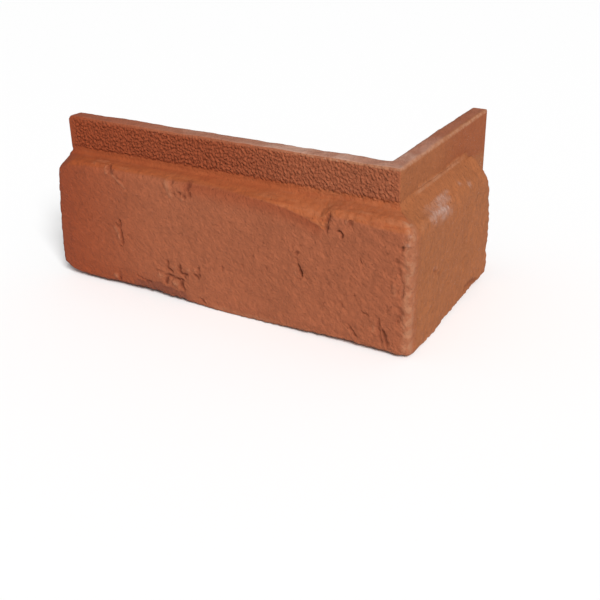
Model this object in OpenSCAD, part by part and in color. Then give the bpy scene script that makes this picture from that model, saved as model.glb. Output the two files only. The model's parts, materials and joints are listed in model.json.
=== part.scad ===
// Corner brick slip: the outside corner of a brick wall as one thin fired-clay piece.
// An L-shaped backing plate carries a handmade brick face, and stands past it along the
// top and at the end of the short leg, where it shows as the mortar joints of the wall.
// Units are millimetres. The long leg lies along X with its face toward -Y, the short leg
// lies along Y with its face toward +X, and the bed is on Z = 0. The origin is the middle
// of the bounding box, at floor level.

/* [Brick face] */
// Height of the brick face, without the joint above it
face_height = 66.5; // [52:0.5:73]
// Length of the long leg, measured over the outer corner
long_leg = 200; // [170:1:240]
// Length of the brick face on the short leg, measured over the outer corner
short_face = 100; // [90:1:120]
// Distance from the joint strips out to the brick face
projection = 12; // [11:0.5:14]

/* [Joint strips] */
// Height of the bed-joint strip along the top of both legs
bed_joint = 16; // [10:1:20]
// Width of the perpend-joint strip at the end of the short leg
perpend_joint = 16; // [10:1:20]
// Thickness of the backing plate, which is also the thickness of the joint strips
plate_thickness = 8; // [6:0.5:12]
// Distance the brick face runs past the plate at the free end of the long leg
end_overhang = 6; // [4:0.5:8]
// Radius of the upper outer corner of the plate at the free end of the long leg
strip_corner_radius = 2; // [1:0.5:4]
// Spacing of the pebbly bumps on the long leg's joint strip, which key the mortar
stipple_pitch = 3; // [2.8:0.1:6]
// Height of the highest of these bumps
stipple_height = 0.7; // [0.3:0.1:1]

/* [Rounded edges] */
// Radius of the cove between the joint strip and the shoulder, on the long leg
cove_radius = 2; // [1:0.25:2.5]
// Radius of the ridge where the shoulder turns down into the face, on the long leg
ridge_radius = 4; // [2:0.5:4.5]
// How many times larger both radii are on the smoother short leg
short_leg_softness = 2; // [1:0.1:2.1]
// Mean radius of the bottom arris
bottom_radius = 1.8; // [1:0.2:3]
// Greatest height of the bottom arris above the bed, where the clay has sprung up
bed_lift = 2; // [0:0.2:2.6]
// Sharpness of the outer corner in plan: larger values give a tighter corner
corner_sharpness = 7; // [3:0.5:10]

/* [Handmade surface] */
// Depth of the shallow hollows over the face
undulation = 0.9; // [0:0.1:1.2]
// Drop of the ridge below the top of the face, away from the thumbed hollows
ridge_drop = 2.8; // [2:0.2:4]
// Extra drop of the ridge in the long thumbed hollow of the long leg
long_hollow = 2.4; // [0:0.2:3]
// Extra drop of the ridge in the short scallop near the corner of the long leg
scallop = 6; // [0:0.5:7]
// Extra radius of the bottom arris where it has broken away on the long leg
foot_chip = 1.2; // [0:0.4:4]
// Distance by which the free end of the long leg leans in from its foot to its top
long_end_lean = 3.5; // [0:0.5:6]
// Distance by which the end of the short leg's face leans in from its foot to its top
short_end_lean = 7; // [0:0.5:9]

/* [Resolution] */
// Distance between the cross-sections of the brick body along the straight legs
section_pitch = 3.6; // [3:0.2:8]

/* [Hidden] */

// Overall sizes and the place of the plate's outer corner in the centred frame
total_height = face_height + bed_joint;
short_total = short_face + perpend_joint;
corner_x = long_leg / 2 - projection;
corner_y = projection - short_total / 2;

// Path coordinate s of the body: negative on the long leg, positive on the short leg
long_end = -(long_leg - projection);
short_end = short_face - projection;
turn = 8;              // half-length of path given to the corner; the sections fan about
                       // the point this far inside both legs
root_depth = -2;       // the body is rooted this deep in the plate
end_run = 14;          // length of path over which each end is rounded
end_steps = 12;        // cross-sections in each rounded end
lean_run = 58;         // height at which the ends have leaned by the distances above
corner_steps = 14;     // cross-sections in the corner
arc_steps = 4;         // steps in each rounded edge of a cross-section
face_steps = 8;        // steps up the face
stipple_margin = 1.5;  // plain clay left above the stipple and beside it at the corner
stipple_end = 4;       // plain clay left at the free end of the long leg
stipple_low = 0.6;     // plain clay left under the stipple, above the cove
stipple_valley = 0.15; // height of the stipple's valleys above the joint strip

// Smooth bump of height 1 at c with half-width w
function bump(s, c, w) = exp(-pow((s - c) / w, 2));

// Cubic curve through four control values
function cubic(t, a, b, c, d) =
    pow(1 - t, 3) * a + 3 * pow(1 - t, 2) * t * b + 3 * (1 - t) * t * t * c + pow(t, 3) * d;

// Runs smoothly from 1 on the long leg to k on the short leg
function toward_short(s, k) = 1 + (k - 1) / (1 + exp(-s / 5));

// Height of the sharp ridge vertex at s, before it is rounded: a long hollow and a short
// scallop, steeper on its corner side, where the clay was thumbed back from the joint
function ridge_z(s) = face_height - ridge_drop
    - long_hollow * bump(s, -78, 34)
    - scallop * (0.5 * bump(s, -41, 8) + 0.62 * bump(s, -33.5, 4.2))
    - 3.5 * bump(s, long_end, 11)
    + 0.6 * bump(s, -14, 9)
    - 0.8 * bump(s, 45, 22);

// Radii of cove and ridge at s
function cove_r(s) = cove_radius * toward_short(s, short_leg_softness);
function ridge_r(s) = ridge_radius * toward_short(s, short_leg_softness);

// Radius of the bottom arris at s: tight where the clay was pressed right down
function arris_r(s) = bottom_radius * (1
    - 0.3 * bump(s, -86, 22)
    + 0.3 * bump(s, -140, 22)
    + 0.25 * bump(s, -22, 16)
    + 0.3 * bump(s, 66, 12))
    + foot_chip * bump(s, -126, 11);

// Height of the bottom arris above the bed at s: down on the bed in the middle of the long
// leg and just past the corner, and highest where the short leg has sprung
function arris_lift(s) = bed_lift * max(0, 0.8 - 0.8 * bump(s, -79, 30)
    - 0.7 * bump(s, 16, 14) + 0.5 * bump(s, 66, 16));

// Hollowing of the face at (s, z), from 0 at its highest to 1 at its deepest, fading out
// at the corner so that the corner stands proud
function hollow(s, z) = (3 + sin(2.1 * s + 1.3 * z) + sin(3.7 * s - 2.9 * z + 40)
    + sin(5.3 * s + 4.1 * z + 110)) / 6 * min(1, max(0, (abs(s) - 12) / 18));

// Slope of the shoulder: the line through the ridge vertex that touches the cove
function shoulder_angle(s) =
    let (a = cove_r(s) - projection, b = face_height - ridge_z(s))
    atan2(a, b) + acos(cove_r(s) / norm([a, b]));

// Cross-section at s as [depth, height] points, from the root of the bed up the face to
// the root of the cove
function section(s) =
    let (r = arris_r(s), up = arris_lift(s), rr = ridge_r(s), rc = cove_r(s),
         beta = shoulder_angle(s), top_arc = 90 - beta,
         zc = ridge_z(s) - rr * (1 - sin(beta)) / cos(beta),
         shoulder_out = [projection - rr + rr * cos(top_arc), zc + rr * sin(top_arc)],
         shoulder_in = [rc * (1 - sin(beta)), face_height - rc * cos(beta)])
    concat(
        [[root_depth, 0], [projection / 4, 0]],
        [for (i = [0 : arc_steps]) let (a = -90 + 90 * i / arc_steps)
            [projection - r + r * cos(a), up + r + r * sin(a)]],
        [for (i = [1 : face_steps - 1])
            [projection, up + r + (zc - up - r) * i / face_steps]],
        [for (i = [0 : arc_steps]) let (a = top_arc * i / arc_steps)
            [projection - rr + rr * cos(a), zc + rr * sin(a)]],
        [for (i = [1 : 2]) shoulder_out + (shoulder_in - shoulder_out) * i / 3],
        [for (i = [0 : arc_steps]) let (a = 270 - beta - (90 - beta) * i / arc_steps)
            [rc + rc * cos(a), face_height + rc * sin(a)]],
        [[root_depth, face_height]]);

// Share of the lean taken at height z, from where the end starts to lean
function leaning(z, foot, power) =
    pow(min(1, max(0, (z - foot) / (lean_run - foot))), power);
function lean_at(s, z) = s < 0 ? leaning(z, 19, 1.2) : leaning(z, 27, 1.5);

// Depth factor of the skin at distance e from the free end of the long leg: a quarter
// ellipse that starts from a narrow flat end, tighter at the foot than at the top
function long_end_depth(e, z) =
    let (run = 1.6 + 2.8 * z / face_height)
    0.35 + 0.65 * sqrt(max(0, 1 - pow(max(0, 1 - e / run), 2)));

// How the two ends close: [s, depth factor or -1 for the free end, lowest z, highest z,
// depth of the root, depth by which the skin sinks into the plate, lean at the top]
function long_end_row(k) =
    let (e = end_run * (1 - cos(90 * k / end_steps)), c = 1 - e / end_run,
         round_off = sqrt(max(0, 1 - c * c)))
    [long_end + e, -1, 11 * (1 - round_off), face_height - 4 * (1 - round_off),
     root_depth * min(1, max(0.4, (e - end_overhang) / 2)), 0, long_end_lean * c];

function short_end_row(k) =
    let (t = min(1, k / (end_steps - 3)), far = max(0, k - (end_steps - 3)) / 3,
         e = cubic(t, 0, 1.6, 0.2, 5) + (end_run - 5) * far, c = 1 - e / end_run,
         round_off = sqrt(max(0, 1 - c * c)), full = cubic(t, 0.02, 0.02, 1, 1))
    [short_end - e, full, 8 * (1 - round_off), face_height - 8 * (1 - round_off),
     root_depth, -root_depth / 2 * (1 - full), -short_end_lean * c];

function straight_rows(from, to) =
    let (n = ceil((to - from) / section_pitch))
    [for (k = [0 : n]) [from + (to - from) * k / n, 1, 0, face_height, root_depth, 0, 0]];

// Every cross-section in order along the path
rows = concat(
    [for (k = [0 : end_steps - 1]) long_end_row(k)],
    straight_rows(long_end + end_run, -turn),
    [for (k = [1 : corner_steps - 1])
        [-turn + 2 * turn * k / corner_steps, 1, 0, face_height, root_depth, 0, 0]],
    straight_rows(turn, short_end - end_run),
    [for (k = [end_steps - 1 : -1 : 0]) short_end_row(k)]);

// Plan position of a point at path coordinate s and depth d. In the corner it follows a
// conic arc whose corner point is the mitre of the two legs.
function in_plan(s, d) =
    s <= -turn ? [s, -d] :
    s >= turn ? [d, s] :
    let (t = (s + turn) / (2 * turn), w0 = pow(1 - t, 2), w2 = t * t,
         w1 = 2 * t * (1 - t) * corner_sharpness)
    (w0 * [-turn, -d] + w1 * [d, -d] + w2 * [d, turn]) / (w0 + w1 + w2);

// One finished cross-section as 3-D points
function placed(row) =
    let (s = row[0], squeeze = (row[3] - row[2]) / face_height)
    [for (p = section(s))
        let (z = row[2] + p[1] * squeeze,
             full = row[1] < 0 ? long_end_depth(s - long_end, z) : row[1],
             d = p[0] < 0 ? row[4]
                 : p[0] * full * (1 - undulation / projection * hollow(s, p[1])) - row[5],
             q = in_plan(s + row[6] * lean_at(s, z), d))
        [q[0], q[1], z]];

// Middle of a list of points
function middle(pts) = [for (p = pts) 1] * pts / len(pts);

// Handmade brick body: the skin through all cross-sections, closed at both ends by a fan
// about the middle of the last cross-section
module brick_body() {
    skins = [for (row = rows) placed(row)];
    n = len(skins[0]);
    m = len(rows);
    polyhedron(
        points = concat([for (skin = skins) each skin],
                        [middle(skins[0]), middle(skins[m - 1])]),
        faces = concat(
            [for (i = [0 : m - 2]) for (j = [0 : n - 1]) let (k = (j + 1) % n)
                each [[i * n + j, i * n + k, (i + 1) * n + j],
                      [i * n + k, (i + 1) * n + k, (i + 1) * n + j]]],
            [for (j = [0 : n - 1]) [(j + 1) % n, j, m * n]],
            [for (j = [0 : n - 1])
                [(m - 1) * n + j, (m - 1) * n + (j + 1) % n, m * n + 1]]));
}

// Rounds the upper corner of the plate at the free end of the long leg
module strip_corner_cut() {
    r = strip_corner_radius;
    translate([long_end + end_overhang, 0, total_height - r])
        difference() {
            translate([-r, -r, 0]) cube([2 * r, plate_thickness + 2 * r, 2 * r]);
            translate([r, plate_thickness + 2 * r, 0]) rotate([90, 0, 0])
                cylinder(r = r, h = plate_thickness + 4 * r, $fn = 48);
        }
}

// L-shaped backing plate at the full height of face and joint
module backing_plate() {
    left = long_end + end_overhang;
    far = short_end + perpend_joint;
    t = plate_thickness;
    difference() {
        linear_extrude(height = total_height)
            polygon([[left, 0], [0, 0], [0, far], [-t, far], [-t, t], [left, t]]);
        strip_corner_cut();
    }
}

// Pebbly bumps on the long leg's joint strip: a grid on which every other point is a crest
// of its own height, on a slab let into the plate
module stippled_panel() {
    left = long_end + end_overhang + stipple_end;
    low = face_height + stipple_low;
    width = -stipple_margin - left;
    height = bed_joint - stipple_low - stipple_margin;
    nx = 2 * round(width / stipple_pitch);
    nz = 2 * round(height / stipple_pitch);
    function place(i, j) = [left + width * i / nx, low + height * j / nz];
    function crest(i, j) = (i + j) % 2 == 0 ? 0 : 0.75 + 0.25 * sin(97 * i + 61 * j);
    function at(p, y) = [p[0], y, p[1]];
    function number(i, j) = i * (nz + 1) + j;
    rim = concat([for (i = [0 : nx - 1]) [i, 0]], [for (j = [0 : nz - 1]) [nx, j]],
                 [for (i = [nx : -1 : 1]) [i, nz]], [for (j = [nz : -1 : 1]) [0, j]]);
    back = (nx + 1) * (nz + 1);
    count = len(rim);
    polyhedron(
        points = concat(
            [for (i = [0 : nx]) for (j = [0 : nz]) at(place(i, j),
                -stipple_valley - (stipple_height - stipple_valley) * crest(i, j))],
            [for (p = rim) at(place(p[0], p[1]), -root_depth)],
            [at(place(nx / 2, nz / 2), -root_depth)]),
        faces = concat(
            [for (i = [0 : nx - 1]) for (j = [0 : nz - 1])
                each (i + j) % 2 == 0
                    ? [[number(i, j), number(i, j + 1), number(i + 1, j)],
                       [number(i, j + 1), number(i + 1, j + 1), number(i + 1, j)]]
                    : [[number(i, j), number(i, j + 1), number(i + 1, j + 1)],
                       [number(i, j), number(i + 1, j + 1), number(i + 1, j)]]],
            [for (k = [0 : count - 1])
                let (a = rim[k], b = rim[(k + 1) % count], next = (k + 1) % count)
                each [[number(a[0], a[1]), number(b[0], b[1]), back + k],
                      [number(b[0], b[1]), back + next, back + k]]],
            [for (k = [0 : count - 1]) [back + k, back + (k + 1) % count, back + count]]));
}

// The whole slip, one piece of fired clay
module corner_slip() {
    color([0.63, 0.36, 0.25])
        translate([corner_x, corner_y, 0])
            union() {
                backing_plate();
                stippled_panel();
                brick_body();
            }
}

corner_slip();
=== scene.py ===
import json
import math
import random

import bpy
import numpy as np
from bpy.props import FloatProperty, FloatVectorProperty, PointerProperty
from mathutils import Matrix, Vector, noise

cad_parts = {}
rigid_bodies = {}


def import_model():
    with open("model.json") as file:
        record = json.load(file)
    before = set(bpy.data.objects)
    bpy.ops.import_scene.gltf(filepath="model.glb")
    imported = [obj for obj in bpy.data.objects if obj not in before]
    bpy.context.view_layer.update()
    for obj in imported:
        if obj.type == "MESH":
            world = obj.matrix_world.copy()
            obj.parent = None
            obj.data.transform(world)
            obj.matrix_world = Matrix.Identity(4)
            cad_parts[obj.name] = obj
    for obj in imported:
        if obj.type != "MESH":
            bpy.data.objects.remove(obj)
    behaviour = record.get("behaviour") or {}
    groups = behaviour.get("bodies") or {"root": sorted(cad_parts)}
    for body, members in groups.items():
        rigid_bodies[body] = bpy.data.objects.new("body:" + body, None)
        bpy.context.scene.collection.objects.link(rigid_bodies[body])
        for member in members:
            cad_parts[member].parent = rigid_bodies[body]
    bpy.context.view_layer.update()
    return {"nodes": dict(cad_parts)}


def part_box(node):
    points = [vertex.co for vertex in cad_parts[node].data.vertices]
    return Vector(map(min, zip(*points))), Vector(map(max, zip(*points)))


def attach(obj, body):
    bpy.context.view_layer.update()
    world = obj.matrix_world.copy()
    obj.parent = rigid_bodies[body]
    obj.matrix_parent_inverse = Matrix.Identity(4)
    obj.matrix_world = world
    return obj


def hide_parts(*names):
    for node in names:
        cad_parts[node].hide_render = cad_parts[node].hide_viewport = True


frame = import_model()

# Corner brick slip in handmade fired clay: an L-shaped facing piece whose brick face stands
# out from the joint strips above it and at one end. The main form comes from the solid of
# the frame; this file gives it the clay's own surface: stippled joint, thumbed and dragged
# face, drying cracks, pits, wear on the arris and the colours of the firing. Some colours are
# painted light and shade: shade in the cracks, pits, pores, stipple valleys and the hollow under
# the shoulder line, along part of the foot, on the broken arris and on the long leg's free end,
# a falloff darkening that leg toward its free end, and highlights on the outer arris, the flash
# line and the stipple crests.
#
# Places on the slip are given along a leg and up, in millimetres. Along is measured from
# the outer corner of the backing plate: negative runs back down the long leg, positive runs
# back along the short leg. Up is measured from the line through the ends of the bottom
# arris, which bows down below it to the bed.

bl_info = {
    "name": "Corner Brick Slip",
    "version": (1, 0, 0),
    "blender": (4, 5, 0),
    "location": "3D View > Sidebar > Brick Slip",
    "description": "Dresses an L-shaped fired-clay corner slip and lights it in a plain studio",
    "category": "Add Mesh",
}

SOLID = "corner_slip"
LOW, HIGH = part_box(SOLID)
MM = 0.001
# How far the bottom arris bows down below its ends, in mm
BOW = 1.5
# Height of the mould's flash line above the top of the brick face, in mm
FLASH_UP = 1.4
# Slope at which the clay was wiped and pressed
DRAG = math.radians(38)

# Drying cracks, pits and dents: leg, points (along, up), half-width, depth, all in mm.
# A mark with one point is a round pit.
CUTS = [
    # upper left: a fold dragged down from the shoulder
    ("long", [(-150.6, 62.4), (-148.8, 60.8), (-146.8, 59.4)], 1.5, 1.5),
    ("long", [(-146.8, 59.4), (-144, 57.6), (-141.6, 56.6)], 0.8, 0.4),
    # left drying crack
    ("long", [(-146, 35.8), (-145.8, 33.4), (-146, 31.4), (-145.5, 29.4), (-145.7, 26.9),
              (-145.3, 24.4), (-145.6, 22.9)], 0.9, 1.2),
    ("long", [(-148.6, 34), (-147.6, 32.8), (-146.2, 31.6)], 0.8, 0.6),
    ("long", [(-147.4, 22), (-146.6, 21.6)], 1.0, 0.6),
    # pits under the shoulder
    ("long", [(-103.3, 60.4)], 2.4, 0.9),
    ("long", [(-103, 59.2)], 2.0, 0.8),
    ("long", [(-101.4, 56.8)], 1.8, 0.8),
    ("long", [(-104.7, 55)], 1.6, 0.9),
    ("long", [(-107.3, 56.2)], 1.2, 0.6),
    ("long", [(-112, 60.8)], 1.6, 0.5),
    ("long", [(-110.8, 55.4)], 0.9, 0.5),
    # crackled patch near the bottom
    ("long", [(-117.5, 20), (-117.7, 17.4), (-118, 16.2), (-116.7, 15.2), (-115, 14.6)], 1.2, 1.0),
    ("long", [(-110, 19), (-110.7, 17), (-110.8, 15.4), (-108.6, 14.4), (-106.4, 14.6)], 1.3, 1.0),
    ("long", [(-108.4, 14.2), (-107.6, 12.6)], 1.1, 0.7),
    ("long", [(-126.2, 13.2), (-123.4, 13.4), (-120.6, 13)], 1.0, 0.5),
    ("long", [(-119, 11.8), (-116.6, 12.2), (-113.6, 11.6), (-111.6, 11.2), (-109.8, 11.4)],
     1.2, 1.0),
    ("long", [(-109.6, 11.2), (-110, 9.4), (-109.7, 7.4), (-108.6, 6)], 1.6, 1.3),
    ("long", [(-118, 11.4), (-119.2, 8.8), (-119.7, 7)], 1.3, 1.0),
    ("long", [(-99, 19.8), (-99.3, 18.2), (-99.1, 16.6), (-99.8, 14.4)], 1.2, 1.0),
    ("long", [(-102, 15.6), (-100.4, 14.8), (-99.8, 13.8)], 1.1, 1.0),
    # notches in the bottom arris
    ("long", [(-150, 6.4), (-149.4, 4.4), (-150, 2.4)], 1.3, 0.9),
    ("long", [(-138, 7.4), (-134, 6), (-130, 5.4)], 1.0, 0.6),
    ("long", [(-99.4, 3.2), (-98, 1.8), (-96.8, 1)], 1.2, 0.9),
    # middle of the long leg: pit, slot and small dents
    ("long", [(-44, 38.8)], 1.4, 0.8),
    ("long", [(-45.2, 45.4), (-46.6, 41.6), (-45.8, 40)], 0.7, 0.3),
    ("long", [(-44.6, 36.8), (-43.8, 34.8)], 0.7, 0.5),
    ("long", [(-43.3, 33.2), (-42.5, 30.8), (-41.7, 28.2)], 1.0, 1.5),
    ("long", [(-42.8, 26.4)], 1.0, 0.8),
    ("long", [(-40, 27.6), (-37.8, 26.8), (-37.2, 25.2)], 0.6, 0.3),
    ("long", [(-60.2, 29), (-60.6, 25.8)], 0.8, 0.3),
    ("long", [(-74, 27), (-72.8, 25.4)], 0.9, 0.4),
    ("long", [(-85.4, 23.8), (-85.5, 21.2)], 0.8, 0.5),
    ("long", [(-75.8, 18.4), (-74.6, 17.6)], 0.8, 0.4),
    ("long", [(-104.6, 35), (-104.2, 33.4)], 0.9, 0.3),
    ("long", [(-68, 18)], 1.1, 0.3),
    ("long", [(-58.2, 58.2)], 1.0, 0.4),
    ("long", [(-56.8, 52.8), (-55.4, 51.4)], 0.7, 0.3),
    ("long", [(-87, 44.4), (-85.8, 44)], 0.8, 0.3),
    ("long", [(-130.6, 45.6), (-129, 45)], 0.8, 0.3),
    ("long", [(-22, 20.6), (-21.4, 17.8)], 0.8, 0.4),
    # slot and pits right of the scallop
    ("long", [(-28.1, 59.2)], 1.9, 0.9),
    ("long", [(-28.5, 57.4)], 1.9, 0.9),
    ("long", [(-28.7, 57), (-28.8, 54.8), (-29.3, 52)], 1.5, 0.9),
    ("long", [(-17.7, 58.8)], 1.5, 0.8),
    ("long", [(-17.6, 57.7)], 1.5, 0.8),
    ("long", [(-23.8, 53.2), (-22.2, 53.3), (-21.3, 52.2), (-21.3, 50.5)], 0.85, 0.9),
    ("long", [(-35.4, 50.6)], 0.9, 0.4),
    ("long", [(-12.6, 43.2), (-12.4, 41.8), (-11.6, 40.6)], 0.7, 0.5),
    # cracks beside the outer corner
    ("long", [(-15.2, 25.4), (-14.4, 22.6), (-13, 20.6)], 0.6, 0.3),
    ("long", [(-11.8, 18.2), (-9.8, 17), (-8, 16.4)], 0.8, 0.7),
    ("long", [(0.6, 20.8), (2.8, 23.4)], 0.8, 0.6),
    ("long", [(-3, 15.8), (-3.4, 12), (-2.9, 8.4), (-1.8, 5)], 1.4, 0.8),
    ("long", [(-1.2, 10.6), (-0.4, 7.4), (0.6, 4.6), (1.2, 3)], 1.5, 0.9),
    ("long", [(-18.2, 9), (-16.8, 7.4), (-15, 5.4), (-14.2, 4)], 1.1, 0.8),
    ("long", [(7, 52), (6.4, 50.2)], 1.0, 0.9),
    ("long", [(4.6, 46), (5.2, 42), (6.4, 38.8)], 1.4, 0.4),
    ("long", [(7, 36.4), (7.6, 32.6), (7.4, 29), (6, 26.4)], 0.9, 0.6),
    ("long", [(6, 23.6), (7.2, 20.8), (6.4, 18.4), (5.6, 16.4)], 1.6, 0.7),
    # short leg: shallow dents and the lifted bottom edge
    ("short", [(12, 32.6), (14, 31.6), (15.8, 30.6)], 1.7, 0.9),
    ("short", [(18, 29), (19.6, 28.2), (21, 27.6)], 1.5, 0.45),
    ("short", [(29, 19.4), (33, 16.8)], 1.1, 0.25),
    ("short", [(54, 5.2), (60, 5.4), (66, 4.2), (72, 3)], 2.2, 0.9),
]

# Line on the long leg where the smooth shoulder meets the face: along and up, in mm
SHOULDER_LINE = [(-188, 58), (-165, 61), (-150, 61.4), (-125, 61.4), (-101, 61.3), (-81, 60.8),
                 (-61, 60.1), (-51, 59), (-46, 57.9), (-41, 56.7), (-36, 55.2), (-33, 53.9),
                 (-30.3, 52.4), (-28.8, 54), (-27.5, 59.4), (-16, 59.4), (-8, 58.8), (12, 57.6)]

# Small pits strewn over the face, where grit and air left the clay
strewn = random.Random(11)
SPECKS = [("long", [(strewn.uniform(-178, 6), strewn.uniform(6, 58))],
           strewn.uniform(0.5, 1.0), strewn.uniform(0.2, 0.6)) for _ in range(150)]
SPECKS += [("long", [(strewn.uniform(-45, 8), strewn.uniform(4, 58))],
            strewn.uniform(0.5, 0.9), strewn.uniform(0.2, 0.5)) for _ in range(60)]
SPECKS += [("short", [(strewn.uniform(4, 80), strewn.uniform(6, 56))],
            strewn.uniform(0.5, 0.9), strewn.uniform(0.15, 0.4)) for _ in range(24)]

# Raised lips and crumbs of clay beside the marks, in the same form
LIPS = [
    ("long", [(-162, 62.6), (-157, 62.8), (-153, 62.2)], 0.9, 0.3),
    ("long", [(-152.4, 61.8), (-151, 59.4)], 1.5, 0.5),
    ("long", [(-148.6, 60.2), (-145.6, 57.8), (-142.2, 55.4), (-140, 53.4)], 1.1, 0.5),
    ("long", [(-115.4, 61), (-113.8, 57.2), (-112.8, 54.2)], 2.2, 0.4),
    ("long", [(-107.4, 58.4)], 1.6, 0.35),
    ("long", [(-105.8, 53.6)], 1.4, 0.3),
    ("long", [(-149.4, 31.6), (-147.6, 28.6), (-146.8, 25.4)], 1.1, 0.3),
    ("long", [(-114.6, 9.2), (-112.6, 8)], 2.4, 0.6),
    ("long", [(-122.6, 11)], 2.2, 0.3),
    ("long", [(-113.6, 17)], 1.6, 0.3),
    ("long", [(-105, 17.4)], 1.6, 0.3),
    ("long", [(-101.6, 18)], 1.4, 0.35),
    ("long", [(-152, 4.4)], 2.0, 0.5),
    ("long", [(-45.2, 32), (-44.6, 28)], 1.0, 0.2),
    ("long", [(-31.6, 57.6), (-31, 55)], 1.3, 0.2),
    ("long", [(-19.4, 58.6), (-19.3, 57.4)], 1.0, 0.4),
    ("long", [(-22.8, 51.2)], 0.9, 0.2),
    ("long", [(-5.4, 14), (-5.6, 9.6)], 1.4, 0.3),
    ("long", [(3.4, 33.8), (4, 29.4)], 1.8, 0.3),
    ("long", [(10.2, 62)], 2.0, 0.5),
    ("long", [(9.6, 53.2)], 1.6, 0.4),
    ("long", [(10.6, 43)], 1.4, 0.3),
    ("short", [(-2, 57.4), (8, 58.6), (14, 56.8)], 2.0, 0.25),
]

# Streaks and spots of whitish salts, in the same form with a strength for the depth
SALTS = [
    ("short", [(8, 58.2), (12, 57.8), (17, 58.2)], 1.8, 0.7),
    ("short", [(18, 57.4), (24, 57.2), (29, 56.5)], 1.9, 1.0),
    ("short", [(19, 54.8), (26, 54.2), (32, 53.8)], 2.6, 0.4),
    ("short", [(23, 60.3), (30, 60.6), (38, 60.6)], 1.3, 0.55),
    ("short", [(22, 59.3), (29, 59.2), (36, 58.9)], 1.4, 0.6),
    ("short", [(10.4, 55.8), (13.2, 55.4)], 1.6, 0.5),
    ("short", [(56.6, 57.9), (58.6, 57.7)], 1.9, 0.8),
    ("short", [(49.6, 60.2), (51.6, 60)], 1.4, 0.6),
    ("long", [(10.4, 61.2)], 1.9, 0.6),
    ("long", [(9.8, 57.6)], 1.2, 0.35),
    ("long", [(9.6, 53.2)], 1.5, 0.5),
    ("short", [(11.4, 34), (13.6, 33), (16, 32)], 1.2, 0.45),
]


# ---------------------------------------------------------------- sizes and colours

class SlipSizes(bpy.types.PropertyGroup):
    """Sizes of the clay's surface"""
    joint_height: FloatProperty(
        name="Joint strip height", description="Height of the bed-joint strip above the face",
        default=0.016, min=0.008, max=0.025, unit="LENGTH", subtype="DISTANCE")
    projection: FloatProperty(
        name="Face projection", description="How far the brick face stands out of the joint",
        default=0.012, min=0.008, max=0.016, unit="LENGTH", subtype="DISTANCE")
    skin_pitch: FloatProperty(
        name="Skin pitch", description="Width of one face of the clay's skin before detail",
        default=0.00074, min=0.0005, max=0.003, unit="LENGTH", subtype="DISTANCE")
    stipple_size: FloatProperty(
        name="Stipple size", description="Width of one worm-like bump of the stippled joint",
        default=0.00092, min=0.0005, max=0.004, unit="LENGTH", subtype="DISTANCE")
    stipple_depth: FloatProperty(
        name="Stipple depth", description="Depth of the stipple from crest to valley",
        default=0.0026, min=0.0, max=0.004, unit="LENGTH", subtype="DISTANCE")
    sand_depth: FloatProperty(
        name="Sand depth", description="Depth of the sandy grain over the face",
        default=0.00055, min=0.0, max=0.001, unit="LENGTH", subtype="DISTANCE")
    line_depth: FloatProperty(
        name="Line depth", description="Depth of the fine lines dragged over the face",
        default=0.00088, min=0.0, max=0.002, unit="LENGTH", subtype="DISTANCE")
    back_faces: FloatProperty(
        name="Back faces kept", description="Share of the faces kept on the plain back",
        default=0.06, min=0.01, max=1.0, subtype="FACTOR")


def colour_property(name, description, default):
    return FloatVectorProperty(name=name, description=description, default=(*default, 1.0),
                               size=4, min=0.0, max=1.0, subtype="COLOR")


class SlipColours(bpy.types.PropertyGroup):
    """Colours of the fired clay and of the studio"""
    clay: colour_property("Clay", "Main colour of the brick face", (0.302, 0.089, 0.039))
    # Red clay is partly the clay's own colour and partly painted falloff shade toward the long
    # leg's free end; it is also laid as painted shade on the stipple, the shoulder and the hollow
    # under the shoulder line
    red: colour_property("Red clay", "Redder clay toward the free end of the long leg",
                         (0.250, 0.048, 0.0145))
    tan: colour_property("Tan clay", "Lighter clay of the short leg", (0.305, 0.101, 0.036))
    wiped: colour_property("Wiped clay", "Clay of the long leg's smooth shoulder",
                           (0.345, 0.084, 0.021))
    # The wiped shoulder's shift toward this colour at its free end is partly painted falloff shade
    wiped_red: colour_property("Wiped red clay", "The same shoulder toward its free end",
                               (0.288, 0.060, 0.013))
    # Deep clay is painted shade: the colour laid in the cracks, pits, pores, stipple valleys and
    # the hollow under the shoulder line
    deep: colour_property("Deep clay", "Darker clay in cracks and valleys",
                          (0.120, 0.024, 0.010))
    # Raw clay is also painted shade: in the broken arris's recess, along the foot and on the long
    # leg's rounded free end
    raw_and_shade: colour_property("Raw clay", "Purplish clay where the arris has broken away",
                         (0.165, 0.046, 0.026))
    # Worn clay is also a painted highlight on the outer arris, the flash line and the stipple
    # crests
    pale: colour_property("Worn clay", "Paler clay on the worn arris and crumbs",
                          (0.375, 0.168, 0.090))
    bloom: colour_property("Bloom", "Whitish salts on the short leg", (0.400, 0.262, 0.218))
    dust: colour_property("Dust", "Dusty top of the joint strip", (0.470, 0.270, 0.200))
    floor: colour_property("Floor", "Plain pale floor", (0.92, 0.92, 0.92))


def angle_property(name, description, degrees):
    return FloatProperty(name=name, description=description, default=math.radians(degrees),
                         min=-math.pi, max=math.pi, unit="ROTATION", subtype="ANGLE")


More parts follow.
